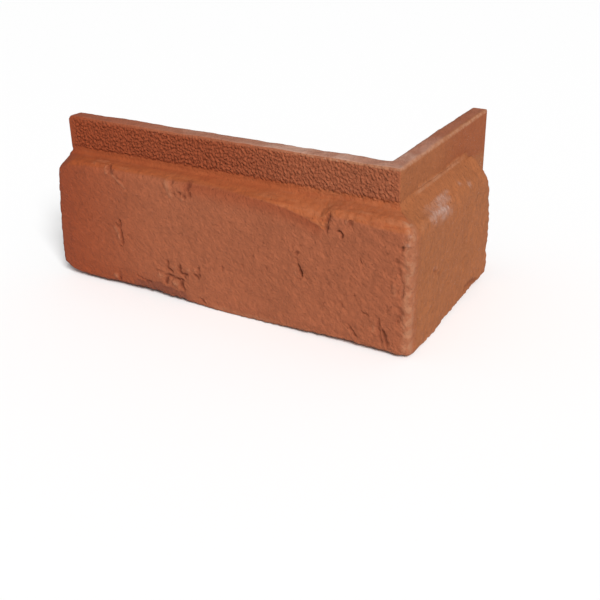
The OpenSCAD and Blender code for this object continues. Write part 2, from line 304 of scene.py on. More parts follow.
class SlipStudio(bpy.types.PropertyGroup):
    """Lights and camera of the studio"""
    sky_strength: FloatProperty(
        name="Sky strength", description="Strength of the even white light from all round",
        default=0.34, min=0.0, max=5.0)
    sun_strength: FloatProperty(
        name="Sun strength", description="Strength of the soft sun",
        default=3.72, min=0.0, max=20.0)
    sun_azimuth: angle_property("Sun azimuth", "Turn of the sun from before the long face", 47)
    sun_elevation: angle_property("Sun elevation", "Height of the sun over the floor", 40)
    sun_softness: angle_property("Sun softness", "Width of the sun's disc", 22)
    lens: FloatProperty(
        name="Lens", description="Focal length on a sensor 36 mm wide, in millimetres",
        default=56.41, min=10.0, max=300.0)
    camera_place: FloatVectorProperty(
        name="Camera place", description="Where the camera stands in the frame",
        default=(0.2387, -0.3878, 0.2093), size=3, unit="LENGTH", subtype="TRANSLATION")
    camera_azimuth: angle_property("Camera azimuth", "Turn of the camera to the left", 30.38)
    camera_dip: angle_property("Camera dip", "How far the camera looks down", 26.63)
    camera_roll: angle_property("Camera roll", "Tilt of the camera about its own axis", -1.12)


# ---------------------------------------------------------------- modelling helpers

def only(piece):
    """Deselects everything else and makes the piece active"""
    bpy.ops.object.select_all(action="DESELECT")
    piece.select_set(True)
    bpy.context.view_layer.objects.active = piece


def apply_modifier(piece, kind, name, **settings):
    """Adds a modifier, sets it and applies it"""
    only(piece)
    modifier = piece.modifiers.new(name, kind)
    for key, value in settings.items():
        setattr(modifier, key, value)
    bpy.ops.object.modifier_apply(modifier=name)


def read(piece):
    """Vertex places and normals of a piece, as arrays, in metres"""
    mesh = piece.data
    co = np.empty(len(mesh.vertices) * 3)
    no = np.empty(len(mesh.vertices) * 3)
    mesh.vertices.foreach_get("co", co)
    mesh.vertex_normals.foreach_get("vector", no)
    return co.reshape(-1, 3), no.reshape(-1, 3)


class Skin:
    """Where each vertex lies on the slip, in mm: its leg, its place along and up, and how
    far it stands out of the joint strips. Facing, rising and endward say how much it faces
    out, up or toward the long leg's free end, from -1 to 1. Top, face_top and line are the
    heights of the slip, of its brick face and of the shoulder line"""

    def __init__(self, piece, sizes):
        co, no = read(piece)
        x = (co[:, 0] - (HIGH.x - sizes.projection)) / MM
        y = (co[:, 1] - (LOW.y + sizes.projection)) / MM
        self.short = x + y > 0
        self.long = ~self.short
        self.along = np.where(self.short, y, x)
        self.out = np.where(self.short, x, -y)
        self.up = co[:, 2] / MM - BOW
        self.facing = np.where(self.short, no[:, 0], -no[:, 1])
        self.rising = no[:, 2]
        self.endward = -no[:, 0]
        self.top = HIGH.z / MM - BOW
        self.face_top = self.top - sizes.joint_height / MM
        self.line = np.interp(self.along, *zip(*SHOULDER_LINE))

    def leg(self, name):
        return self.short if name == "short" else self.long


def ramp(values, start, end):
    """0 before start, 1 after end, and smooth between; end may be the lower one"""
    t = np.clip((values - start) / (end - start), 0, 1)
    return t * t * (3 - 2 * t)


def ragged(places, size, seed):
    """Noise between -1 and 1 at places on a face, for ragged edges"""
    return np.array([noise.noise(Vector((u / size + seed, v / size, seed))) for u, v in places])


def stroke(skin, leg, points, width):
    """1 along the line through some points on one leg's face, falling softly to 0 at its
    sides and ends; a thin one is broken up along its course, as a crack in clay is"""
    route = np.array(points, float)
    low, high = route.min(axis=0) - 2.5 * width, route.max(axis=0) + 2.5 * width
    near = np.flatnonzero(
        skin.leg(leg) & (skin.out > 1.5) & (skin.facing > 0.1)
        & (skin.along > low[0]) & (skin.along < high[0])
        & (skin.up > low[1]) & (skin.up < high[1]))
    places = np.stack([skin.along[near], skin.up[near]], 1)
    away = np.full(len(places), np.inf)
    for a, b in list(zip(route, route[1:])) or [(route[0], route[0])]:
        ab = b - a
        t = np.clip(((places - a) @ ab) / max(ab @ ab, 1e-9), 0, 1)
        away = np.minimum(away, np.linalg.norm(places - a - t[:, None] * ab, axis=1))
    to_end = np.minimum(np.linalg.norm(places - route[0], axis=1),
                        np.linalg.norm(places - route[-1], axis=1))
    taper = np.clip(to_end / (2 * width) + 0.45, 0, 1) if len(route) > 1 else 1
    edge = width * taper * (1 + 0.55 * ragged(places, 1.4, route[0, 0]))
    unbroken = np.clip(0.85 + 0.9 * ragged(places, 2.3, route[0, 1]), 0.25, 1)
    mask = np.zeros(len(skin.up))
    mask[near] = (np.clip(1 - (away / edge) ** 2, 0, 1) ** 1.5
                  * np.maximum(unbroken, ramp(width, 1.3, 1.8)))
    return mask


def marks(skin, table, deepest):
    """All the marks of a table as one mask, 1 where a mark is as deep as the deepest"""
    mask = np.zeros(len(skin.up))
    for leg, points, width, depth in table:
        mask = np.maximum(mask, stroke(skin, leg, points, width) * depth / deepest)
    return mask


def paint(piece, name, mask, steps=48):
    """Keeps a mask on the piece as a vertex group"""
    group = piece.vertex_groups.new(name=name)
    level = np.rint(np.clip(mask, 0, 1) * steps).astype(int)
    for step in range(1, steps + 1):
        chosen = np.flatnonzero(level == step)
        if len(chosen):
            group.add(chosen.tolist(), step / steps, "REPLACE")
    return group.name


def press(piece, name, mask, depth, texture=None, middle=0.0, direction="NORMAL", lean=None):
    """Presses the skin in under a mask; a negative depth raises it. An empty given as lean
    turns and stretches the texture"""
    settings = {"vertex_group": paint(piece, name, mask), "strength": -depth,
                "mid_level": middle, "direction": direction}
    if texture is not None:
        settings.update(texture=texture, texture_coords="OBJECT" if lean else "LOCAL")
    if lean:
        settings["texture_coords_object"] = lean
    apply_modifier(piece, "DISPLACE", name, **settings)
    piece.vertex_groups.remove(piece.vertex_groups[name])


def clouds(name, size, depth=2, hard=False):
    """A procedural cloud texture for pressing the clay"""
    texture = bpy.data.textures.new(name, "CLOUDS")
    texture.noise_scale = size
    texture.noise_depth = depth
    texture.noise_type = "HARD_NOISE" if hard else "SOFT_NOISE"
    return texture


def clear_selection(piece, kind):
    """Leaves nothing of the piece selected, ready to select points or faces"""
    only(piece)
    bpy.ops.object.mode_set(mode="EDIT")
    bpy.ops.mesh.select_mode(type=kind)
    bpy.ops.mesh.select_all(action="DESELECT")
    bpy.ops.object.mode_set(mode="OBJECT")


def select_faces(piece, mask):
    """Enters edit mode with only the faces selected whose points all lie in a mask"""
    mesh = piece.data
    corners = np.empty(len(mesh.loops), int)
    mesh.loops.foreach_get("vertex_index", corners)
    starts = np.empty(len(mesh.polygons), int)
    mesh.polygons.foreach_get("loop_start", starts)
    clear_selection(piece, "FACE")
    mesh.polygons.foreach_set("select", np.minimum.reduceat(mask[corners], starts))
    bpy.ops.object.mode_set(mode="EDIT")


def select_points(piece, mask):
    """Enters edit mode with only the points of a mask selected"""
    clear_selection(piece, "VERT")
    piece.data.vertices.foreach_set("select", mask)
    bpy.ops.object.mode_set(mode="EDIT")


def keep_mask(piece, name, mask):
    """Stores a mask as an attribute that the material reads"""
    layer = piece.data.attributes.new(name, "FLOAT", "POINT")
    layer.data.foreach_set("value", np.clip(mask, 0, 1).astype(np.float32))


# ---------------------------------------------------------------- masks over the skin

def shoulder(skin):
    """The smooth shoulder between the face and the joint strip"""
    start = np.where(skin.short, ramp(skin.up, skin.face_top - 6, skin.face_top - 3),
                     ramp(skin.up, skin.line - 0.5, skin.line + 0.7))
    return (start * ramp(skin.up, skin.face_top + 2.2, skin.face_top + 1)
            * (skin.out > -0.5) * (skin.facing > -0.3))


def under_line(skin):
    """The face just under the shoulder line of the long leg, in its hollow"""
    return (skin.long * ramp(skin.out, 3, 6) * ramp(skin.up, skin.line + 0.3, skin.line - 0.4)
            * ramp(skin.up, skin.line - 8, skin.line - 0.5)
            * ramp(skin.along, -112, -100) * ramp(skin.along, -30.5, -34))


def foot(skin):
    """The lowest edge of the face"""
    return ramp(skin.up, 2.2, 0.4) * ramp(skin.out, 6, 8)


def broken_arris(skin):
    """The broken part of the long leg's bottom arris"""
    line = 6.6 - 0.14 * abs(skin.along + 126) + 0.5 * np.sin(skin.along * 0.9)
    return (skin.long * ramp(skin.out, 2, 5) * ramp(skin.up, line + 0.7, line - 0.5)
            * ramp(skin.along, -142, -137) * ramp(skin.along, -104, -110))


def stippled(skin):
    """The stippled panel of the long leg's joint strip, inside a plain margin"""
    dip = 0.8 * ramp(skin.along, -95, -15)
    return (skin.long * (abs(skin.out) < 2.0) * (skin.facing > 0.2)
            * ramp(skin.up, skin.face_top + 0.6 - dip, skin.face_top + 1.8 - dip)
            * ramp(skin.up, skin.top - 0.3, skin.top - 1.2)
            * ramp(skin.along, -181, -177) * ramp(skin.along, -0.6, -1.6)
            * (1 - 0.35 * ramp(skin.along, -100, -20)))


def shade_in_cuts(skin):
    """Painted shade down in the cracks and pits"""
    return (np.minimum(1, marks(skin, CUTS, 0.9)) * (1 - 0.35 * ramp(skin.along, -25, -5))
            * np.where(skin.short, 1, ramp(skin.out, 4.5, 7)))


def wear_and_highlights(skin):
    """Paler clay: on the lips, parts of the foot and of the top edge and the dry shoulder;
    wear and a painted highlight on the outer corner; a painted highlight on the flash line and the
    stipple crests"""
    from_corner = np.where(skin.short, skin.along + skin.out, skin.out - skin.along)
    # The outer corner: wear on the arris and a painted highlight along it
    corner = 0.75 * ramp(from_corner, 5.5, 1.0) * (skin.out > 8)
    pale_foot = foot(skin) * np.where(skin.short, 0.7 * ramp(skin.along, 24, 6),
                                      0.3 * ramp(skin.along, -98, -88))
    top_edge = ((abs(skin.out) < 1.0) * ramp(skin.up, skin.top - 1.2, skin.top - 0.6)
                * np.where(skin.short, 0.95, 0.8 * ramp(skin.along, -75, -30)))
    # Painted highlight along the top of the flash line
    flash = (skin.short * (abs(skin.up - skin.face_top - FLASH_UP) < 1.3) * (skin.out < 1.6)
             * ramp(skin.out, 0.3, 0.6) * ramp(skin.along, 12, 18) * ramp(skin.along, 76, 60))
    dry = 0.15 * skin.long * shoulder(skin) * ramp(skin.along, -65, -25)
    # Painted highlight on the crests of the stipple
    crest_highlight = 0.3 * stippled(skin) * ramp(skin.out, 0.0, 0.5) * ramp(skin.along, -110, -15)
    return np.maximum.reduce([corner, marks(skin, LIPS, 1.1), pale_foot, top_edge,
                              0.6 * flash, dry, crest_highlight])


def torn_clay_and_shade(skin):
    """Broken clay and painted shade: the broken arris, partly painted shade in its recess; painted
    shade along the foot toward the long leg's free end, and on that end's rounded edge and face
    """
    # Painted shade along the foot, on the free end's rounded edge and on its end face
    foot_shade = foot(skin) * skin.long * ramp(skin.along, -100, -110)
    end_edge_shade = (ramp(skin.endward, 0.2, 0.55) * ramp(skin.endward, 0.99, 0.9)
                * (skin.along < -176))
    end_face_shade = 0.7 * (skin.out > 2) * ramp(skin.along, -170, -186)
    return np.maximum.reduce([broken_arris(skin), foot_shade, 0.6 * end_edge_shade, 0.6 * end_face_shade])


def salts(skin):
    """Whitish salts, with a haze round them on the short leg's shoulder"""
    haze = (skin.short * (skin.out > 6) * ramp(skin.along, 4, 16) * ramp(skin.along, 38, 26)
            * ramp(skin.up, 51, 57) * ramp(skin.up, 65, 60))
    return 0.22 * haze + 0.75 * marks(skin, SALTS, 1.0)


def reddened_and_shaded(skin):
    """Reddening: on the short leg its far shoulder; on the long leg the foot near the free end,
    and as painted shade the stipple and the shoulder's upper part darkening toward the free end,
    the hollow under the shoulder line and the free end itself"""
    short_leg = ((0.05 + 0.4 * ramp(skin.along, 30, 75)) * ramp(skin.out, 9, 3)
                 * ramp(skin.up, 58, 63) * ramp(skin.rising, 0.7, 0.3))
    # On the long leg the stipple, the hollow under the shoulder line, the free end and the
    # shoulder's upper part are painted shade; the foot term makes the clay more red near the free
    # end
    long_leg = (0.75 * stippled(skin) * ramp(skin.along, 4, -110) + 0.55 * under_line(skin)
                + 0.8 * ramp(skin.along, -172, -184)
                + 0.35 * ramp(skin.up, 14, 3) * ramp(skin.along, -110, -150)
                + 0.4 * shoulder(skin) * ramp(skin.out, 7, 2.5) * ramp(skin.along, -30, -80))
    return np.where(skin.short, short_leg, long_leg)


def valleys(skin):
    """Painted shade between the bumps of the stipple and in the hollow under the shoulder line"""
    between = ramp(skin.out, 0.12, -0.2) * (0.8 - 0.4 * ramp(skin.along, -110, -15))
    return 0.7 * under_line(skin) + stippled(skin) * between


def dusty_top(skin):
    """Dust on top of the joint strip, thickest by the corner"""
    near_corner = np.where(skin.short, ramp(skin.along, 66, -5), ramp(skin.along, -150, -50))
    return ((0.12 + 0.88 * near_corner) * ramp(skin.rising, 0.6, 0.9)
            * ramp(skin.up, skin.top - 3, skin.top - 1.2))


def tan_leg(skin):
    """The lighter clay of the short leg"""
    return skin.short * ramp(skin.along, -12, -2) * (skin.out > -1.5)


def wiped_shoulder(skin):
    """The shoulder of the long leg, wiped smooth"""
    return skin.long * shoulder(skin)


# Masks that the material reads, by the names that they are stored under
MASKS = {"cut_shade": shade_in_cuts, "worn_and_highlit": wear_and_highlights, "broken": torn_clay_and_shade, "bloom": salts,
         "reddened_and_shaded": reddened_and_shaded, "valley_shade": valleys, "dust": dusty_top, "tan": tan_leg,
         "smooth": wiped_shoulder}


# ---------------------------------------------------------------- material helpers

def add(tree, kind, at=(0, 0), inputs=None, **settings):
    """Adds a node, sets it, and links or sets its inputs"""
    made = tree.nodes.new(kind)
    made.location = at
    for key, value in settings.items():
        setattr(made, key, value)
    for key, value in (inputs or {}).items():
        socket = made.inputs[key]
        if isinstance(value, bpy.types.NodeSocket):
            tree.links.new(value, socket)
        else:
            socket.default_value = value
    return made


def maths(tree, operation, a, b, at):
    return add(tree, "ShaderNodeMath", at, {0: a, 1: b}, operation=operation).outputs[0]


def spread(tree, value, low, high, at, to_low=0.0, to_high=1.0, smooth=True):
    """Value between low and high, spread between to_low and to_high"""
    return add(tree, "ShaderNodeMapRange", at,
               {"Value": value, "From Min": low, "From Max": high,
                "To Min": to_low, "To Max": to_high},
               interpolation_type="SMOOTHSTEP" if smooth else "LINEAR").outputs[0]


def mixed(tree, share, a, b, at):
    """Colour a with a share of colour b"""
    return add(tree, "ShaderNodeMix", at, {0: share, 6: a, 7: b}, data_type="RGBA").outputs[2]


def group(name, inputs, outputs):
    """Starts a shader node group with named inputs and outputs"""
    tree = bpy.data.node_groups.new(name, "ShaderNodeTree")
    for label, kind, default in inputs:
        socket = tree.interface.new_socket(label, in_out="INPUT", socket_type=kind)
        if default is not None:
            socket.default_value = default
    for label in outputs:
        tree.interface.new_socket(label, in_out="OUTPUT", socket_type="NodeSocketFloat")
    start = tree.nodes.new("NodeGroupInput")
    start.location = (-900, 0)
    end = tree.nodes.new("NodeGroupOutput")
    end.location = (700, 0)
    return tree, start, end


def sandy_grain():
    """Group: sandy grain of the clay, with pores. Density is the number of grains in a
    metre"""
    tree, start, end = group("sandy grain", [("Vector", "NodeSocketVector", None),
                                             ("Density", "NodeSocketFloat", 1000.0)],
                             ["Height", "Tone", "Pores"])
    place, density = start.outputs["Vector"], start.outputs["Density"]
    fine = add(tree, "ShaderNodeTexNoise", (-600, 200),
               {"Vector": place, "Scale": density, "Detail": 3.0, "Roughness": 0.65})
    broad = add(tree, "ShaderNodeTexNoise", (-600, 0),
                {"Vector": place, "Scale": maths(tree, "MULTIPLY", density, 0.27, (-780, 0)),
                 "Detail": 4.0, "Roughness": 0.6})
    pits = add(tree, "ShaderNodeTexVoronoi", (-600, -250),
               {"Vector": place, "Scale": maths(tree, "MULTIPLY", density, 0.34, (-780, -250)),
                "Randomness": 1.0}, feature="F1")
    pores = spread(tree, pits.outputs["Distance"], 0.16, 0.06, (-380, -250))
    height = maths(tree, "ADD", maths(tree, "MULTIPLY", fine.outputs[0], 0.45, (-380, 200)),
                   maths(tree, "MULTIPLY", broad.outputs[0], 0.9, (-380, 0)), (-180, 100))
    tree.links.new(maths(tree, "SUBTRACT", height,
                         maths(tree, "MULTIPLY", pores, 0.35, (-180, -250)), (60, 60)),
                   end.inputs["Height"])
    tree.links.new(spread(tree, height, 0.45, 0.9, (60, 200)), end.inputs["Tone"])
    tree.links.new(pores, end.inputs["Pores"])
    return tree


def dragged_lines():
    """Group: fine lines left by wiping the wet clay. Turn is their slope on the face and
    Stretch their number in a metre along each turned axis"""
    tree, start, end = group("dragged lines", [("Vector", "NodeSocketVector", None),
                                               ("Turn", "NodeSocketVector", (0.0, 0.0, 0.0)),
                                               ("Stretch", "NodeSocketVector", (1.0, 1.0, 1.0))],
                             ["Height"])
    turned = add(tree, "ShaderNodeVectorRotate", (-700, 0),
                 {"Vector": start.outputs["Vector"], "Rotation": start.outputs["Turn"]},
                 rotation_type="EULER_XYZ")
    drawn = add(tree, "ShaderNodeVectorMath", (-500, 0),
                {0: turned.outputs[0], 1: start.outputs["Stretch"]}, operation="MULTIPLY")
    lines = add(tree, "ShaderNodeTexNoise", (-300, 0),
                {"Vector": drawn.outputs[0], "Scale": 1.0, "Detail": 4.0, "Roughness": 0.62,
                 "Distortion": 0.3})
    tree.links.new(lines.outputs[0], end.inputs["Height"])
    return tree


def mottle():
    """Group: patchy changes of tone over the clay, from 0 to 1. Density is the number of
    patches in a metre"""
    tree, start, end = group("clay mottle", [("Vector", "NodeSocketVector", None),
                                             ("Density", "NodeSocketFloat", 90.0)], ["Tone"])
    patches = add(tree, "ShaderNodeTexNoise", (-600, 0),
                  {"Vector": start.outputs["Vector"], "Scale": start.outputs["Density"],
                   "Detail": 3.0, "Roughness": 0.55, "Distortion": 0.4})
    tree.links.new(spread(tree, patches.outputs[0], 0.32, 0.68, (-300, 0)),
                   end.inputs["Tone"])
    return tree


def as_fired(tree, place, masks, colours):
    """Colours of the firing: more red down the long leg, partly as painted falloff shade toward
    its free end, tan on the short leg, and brighter with drawn-out bands on the wiped shoulder"""
    across = add(tree, "ShaderNodeSeparateXYZ", (-1700, -300), {0: place}).outputs["X"]
    # Partly painted falloff shade: the long leg and its wiped shoulder grow darker and more red
    # toward the free end
    redder_and_shaded = spread(tree, across, -0.02, -0.11, (-1300, -400))
    clay = mixed(tree, redder_and_shaded, colours.clay, colours.red, (-1100, 300))
    clay = mixed(tree, masks["tan"], clay, colours.tan, (-950, 300))
    wiped = mixed(tree, redder_and_shaded, colours.wiped, colours.wiped_red, (-950, 500))
    clay = mixed(tree, maths(tree, "MULTIPLY", masks["smooth"], 0.7, (-1300, 500)), clay,
                 wiped, (-880, 300))
    drawn = add(tree, "ShaderNodeVectorMath", (-1300, 700),
                {0: place, 1: (55.0, 300.0, 420.0)}, operation="MULTIPLY")
    bands = add(tree, "ShaderNodeTexNoise", (-1100, 700),
                {"Vector": drawn.outputs[0], "Scale": 1.0, "Detail": 2.0, "Distortion": 0.6})
    for colour, start, end, most, height in ((colours.red, 0.48, 0.75, 0.5, 700),
                                             (colours.pale, 0.45, 0.28, 0.14, 850)):
        band = spread(tree, bands.outputs[0], start, end, (-900, height), 0.0, most)
        share = maths(tree, "MULTIPLY", masks["smooth"], band, (-700, height))
        clay = mixed(tree, share, clay, colour, (-840, height - 200))
    return clay


def uneven_tone(tree, clay, tones):
    """Makes a colour darker or lighter by some tones, each between its own two limits"""
    for step, (tone, darkest, lightest) in enumerate(tones):
        value = spread(tree, tone, 0.0, 1.0, (-1300, 200 * step - 100), darkest, lightest,
                       smooth=False)
        clay = add(tree, "ShaderNodeHueSaturation", (150 * step - 800, 300),
                   {"Color": clay, "Value": value}).outputs["Color"]
    return clay


def weathered(tree, clay, place, masks, slow, quick, pores, colours):
    """Lays over a colour the reddening with its painted shade, wear with painted highlights,
    salts, dust, broken clay with painted shade, and painted shade in the stipple valleys, cracks
    and pores
    """
    streaks = add(tree, "ShaderNodeTexNoise", (-1300, -1050),
                  {"Vector": place, "Scale": 420.0, "Detail": 4.0, "Roughness": 0.7,
                   "Distortion": 0.5})
    patchy = spread(tree, quick, 0.15, 0.8, (-1100, -900), 0.35, 1.0)
    streaked = spread(tree, streaks.outputs[0], 0.35, 0.62, (-1100, -1050), 0.35, 1.0)
    settled = spread(tree, slow, 0.0, 1.0, (-1100, -1200), 0.45, 1.0)
    # Painted light in these layers: the reddening is partly painted shade; the layers for stipple
    # valleys, cracks and pores are painted shade in the hollows; the broken clay layer is partly
    # painted shade and the wear layer partly painted highlight
    clay = mixed(tree, masks["reddened_and_shaded"], clay, colours.red, (-420, 300))
    layers = ((masks["valley_shade"], 0.1, colours.deep), (masks["worn_and_highlit"], patchy, colours.pale),
              (masks["bloom"], streaked, colours.bloom), (masks["dust"], settled, colours.dust),
              (masks["broken"], 0.7, colours.raw_and_shade), (masks["cut_shade"], 0.7, colours.deep),
              (pores, 0.25, colours.deep))
    for step, (mask, strength, colour) in enumerate(layers):
        share = maths(tree, "MULTIPLY", mask, strength, (-800, -150 * step - 600))
        clay = mixed(tree, share, clay, colour, (120 * step - 300, 300))
    return clay


def fine_relief(tree, grain, lines, smooth, sizes):
    """Normal with the relief finer than the mesh: sand and dragged lines, both quieter on
    the wiped shoulder"""
    quiet = spread(tree, smooth, 0.0, 1.0, (-900, -1650), 1.0, 0.65, smooth=False)
    sand = add(tree, "ShaderNodeBump", (200, -200),
               {"Height": maths(tree, "MULTIPLY", grain, quiet, (-700, -200)),
                "Strength": 1.0, "Distance": sizes.sand_depth})
    dragged = add(tree, "ShaderNodeBump", (380, -200),
                  {"Height": maths(tree, "MULTIPLY", lines, quiet, (-700, -350)),
                   "Strength": 1.0, "Distance": sizes.line_depth, "Normal": sand.outputs[0]})
    return dragged.outputs["Normal"]


def fired_clay(colours, sizes):
    """The material: fired clay, more red at one end partly as painted falloff shade, paler with
    wear and painted highlights, with painted shade in its cracks
    """
    material = bpy.data.materials.new("fired_clay")
    material.use_nodes = True
    tree = material.node_tree
    tree.nodes.clear()
    place = add(tree, "ShaderNodeTexCoord", (-1900, 0)).outputs["Object"]
    masks = {name: add(tree, "ShaderNodeAttribute", (-1500, -150 * row - 600),
                       attribute_name=name).outputs["Fac"] for row, name in enumerate(MASKS)}
    patches = mottle()
    grain = add(tree, "ShaderNodeGroup", (-1500, 300), {"Vector": place, "Density": 1250.0},
                node_tree=sandy_grain())
    lines = add(tree, "ShaderNodeGroup", (-1500, 100),
                {"Vector": place, "Turn": (DRAG, DRAG, 0.0), "Stretch": (900.0, 900.0, 190.0)},
                node_tree=dragged_lines())
    slow = add(tree, "ShaderNodeGroup", (-1500, -100), {"Vector": place, "Density": 60.0},
               node_tree=patches)
    quick = add(tree, "ShaderNodeGroup", (-1500, -300), {"Vector": place, "Density": 320.0},
                node_tree=patches)

    clay = as_fired(tree, place, masks, colours)
    clay = uneven_tone(tree, clay, ((slow.outputs["Tone"], 0.96, 1.03),
                                    (quick.outputs["Tone"], 0.97, 1.03),
                                    (grain.outputs["Tone"], 0.92, 1.08)))
    clay = weathered(tree, clay, place, masks, slow.outputs["Tone"], quick.outputs["Tone"],
                     grain.outputs["Pores"], colours)
    normal = fine_relief(tree, grain.outputs["Height"], lines.outputs["Height"],
                         masks["smooth"], sizes)
    shader = add(tree, "ShaderNodeBsdfPrincipled", (650, 100),
                 {"Base Color": clay, "Roughness": 0.88, "Specular IOR Level": 0.22,
                  "Normal": normal})
    out = add(tree, "ShaderNodeOutputMaterial", (950, 100))
    tree.links.new(shader.outputs["BSDF"], out.inputs["Surface"])
    return material


def plain_floor(colours):
    """The material: plain pale matt floor"""
    material = bpy.data.materials.new("pale_floor")
    material.use_nodes = True
    shader = material.node_tree.nodes["Principled BSDF"]
    shader.inputs["Base Color"].default_value = tuple(colours.floor)
    shader.inputs["Roughness"].default_value = 0.9
    return material


# ---------------------------------------------------------------- operators

class SLIP_OT_clay_slip(bpy.types.Operator):
    """Models the fired-clay slip over its solid and gives it its clay"""
    bl_idname = "slip.clay_slip"
    bl_label = "Fired-Clay Slip"
    bl_options = {"REGISTER", "UNDO"}

    def execute(self, context):
        sizes, colours = context.scene.slip_sizes, context.scene.slip_colours
        slip = self.raw_clay(sizes)
        self.refine_marks(slip, sizes)
        skin = Skin(slip, sizes)
        self.shape_edges(slip, skin)
        self.fill_shoulder(slip, skin)
        self.work_face(slip, sizes)
        self.cut_marks(slip, sizes)
        self.stipple_joint(slip, sizes)
        self.thin_back(slip, sizes)
        slip.vertex_groups.clear()
        skin = Skin(slip, sizes)
        for name, mask in MASKS.items():
            keep_mask(slip, name, mask(skin))
        slip.data.materials.clear()
        slip.data.materials.append(fired_clay(colours, sizes))
        only(slip)
        bpy.ops.object.shade_smooth()
        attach(slip, "root")
        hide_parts(SOLID)
        return {"FINISHED"}

    def raw_clay(self, sizes):
        """A merged copy of the solid, with the mould's flash line, in one even skin"""
        only(frame["nodes"][SOLID])
        bpy.ops.object.duplicate()
        slip = bpy.context.view_layer.objects.active
        slip.name = slip.data.name = "clay_slip"
        for key in list(slip.keys()):
            del slip[key]
        bpy.ops.object.parent_clear(type="CLEAR_KEEP_TRANSFORM")
        bpy.ops.object.mode_set(mode="EDIT")
        bpy.ops.mesh.select_all(action="SELECT")
        bpy.ops.mesh.remove_doubles(threshold=1e-6)
        bpy.ops.object.mode_set(mode="OBJECT")
        flash = self.flash_line(sizes)
        only(slip)
        flash.select_set(True)
        bpy.ops.object.join()
        coarser = 1
        apply_modifier(slip, "REMESH", "even skin", mode="VOXEL",
                       voxel_size=sizes.skin_pitch * coarser)
        if not slip.data.polygons:
            raise RuntimeError("The clay's skin came out empty")
        return slip

    def flash_line(self, sizes):
        """The thin ridge where the mould's two parts met, on the short leg's joint"""
        plate_x, corner_y = HIGH.x - sizes.projection, LOW.y + sizes.projection
        start, end, height = 0.014, 0.072, HIGH.z - sizes.joint_height + FLASH_UP * MM
        thick, tall = 0.0018, 0.0011
        bpy.ops.object.select_all(action="DESELECT")
        bpy.ops.mesh.primitive_cube_add(
            size=1, location=(plate_x, corner_y + (start + end) / 2, height),
            scale=(thick, end - start, tall))
        flash = bpy.context.active_object
        bpy.ops.object.transform_apply(location=True, rotation=True, scale=True)
        bpy.ops.object.mode_set(mode="EDIT")
        bpy.ops.mesh.select_all(action="SELECT")
        bpy.ops.mesh.subdivide(number_cuts=7, smoothness=0)
        bpy.ops.object.mode_set(mode="OBJECT")
        for vertex in flash.data.vertices:
            t = (vertex.co.y - corner_y - start) / (end - start)
            vertex.co.z += 0.0007 * math.sin(9 * t) - 0.0010 * t
            vertex.co.x += 0.00035 * math.sin(23 * t) - 0.0009 * (2 * t - 1) ** 4
        return flash

    def refine_marks(self, slip, sizes):
        """Halves the faces under the marks and over the stippled joint"""
        skin = Skin(slip, sizes)
        wide = [(leg, points, width * 1.5 + 0.8, 1) for leg, points, width, _ in CUTS + LIPS]
        busy = marks(skin, wide, 1) > 0.02
        joint = (skin.long & (abs(skin.out) < 1.2) & (skin.facing > 0.5)
                 & (skin.up > skin.face_top - 0.3))
        select_faces(slip, busy | joint)
        bpy.ops.mesh.subdivide(number_cuts=1, smoothness=0)
        bpy.ops.mesh.select_all(action="DESELECT")
        bpy.ops.object.mode_set(mode="OBJECT")

    def shape_edges(self, slip, skin):
        """Uneven top edge, foot and outer corner, and the broken bottom arris"""
        rim = ramp(skin.up, skin.top - 2.5, skin.top - 0.6) * (skin.rising > 0.35)
        press(slip, "uneven top", rim, 0.0011, clouds("top waves", 0.011, 3), 0.9, "Z")
        lower = ramp(skin.up, 7, 1.5) * ramp(skin.out, 3, 6) * np.where(skin.short, 0.55, 1)
        press(slip, "uneven foot", lower, -0.0009, clouds("foot waves", 0.006, 2), 0.8)
        press(slip, "broken foot", broken_arris(skin), 0.0014,
              clouds("broken clay", 0.0030, 3, True), 0.15)
        near_arris = (skin.long * ramp(skin.along, -8, 2) * ramp(skin.along, 11.5, 9)
                      * ramp(skin.out, 6, 10) * ramp(skin.up, 62, 54))
        press(slip, "rough arris", near_arris, 0.0006, clouds("torn clay", 0.0034, 3, True), 0.35)

    def fill_shoulder(self, slip, skin):
        """Fuller clay at the free end of the short leg and in the coves under the joint"""
        full = (skin.short * ramp(skin.along, 68, 80) * ramp(skin.out, 12, 9.5)
                * np.exp(-((skin.up - 62) / 3.4) ** 2) * ramp(skin.out, 0.5, 3))
        press(slip, "full shoulder", full, -0.0026)
        fill = np.where(skin.short, 0.3 + 0.7 * ramp(skin.along, -4, 10),
                        0.3 * ramp(skin.along, -32, -20))
        cove = (fill * ramp(skin.out, 8.5, 2) * (skin.out > -1) * ramp(skin.up, 56, 60)
                * ramp(skin.up, skin.face_top + 2.5, skin.face_top - 2))
        press(slip, "filled cove", cove, -0.0030, direction="Z")

    def work_face(self, slip, sizes):
        """Soft thumbed waves and small lumps over the whole brick face"""
        skin = Skin(slip, sizes)
        face = ramp(skin.out, 3, 6) * ramp(skin.up, skin.face_top + 1, skin.face_top - 3)
        press(slip, "waves", face, 0.0008, clouds("slow waves", 0.012, 1), 0.5)
        rougher = face * np.where(skin.short, 0.9, 0.6 + 0.4 * ramp(skin.along, -75, -20))
        press(slip, "lumps", rougher, 0.0011, clouds("lumps", 0.0024, 2), 0.5)
        press(slip, "shoulder line", under_line(skin), 0.00045)

    def cut_marks(self, slip, sizes):
        """Raises the lips and crumbs, then presses in the cracks, pits and dents"""
        skin = Skin(slip, sizes)
        lips, cuts = marks(skin, LIPS, 0.8), marks(skin, CUTS + SPECKS, 2.0)
        cuts *= np.where(skin.short, 1, ramp(skin.out, 7.5, 10))
        press(slip, "lips", lips, -0.0010)
        press(slip, "cuts", cuts, 0.0022)

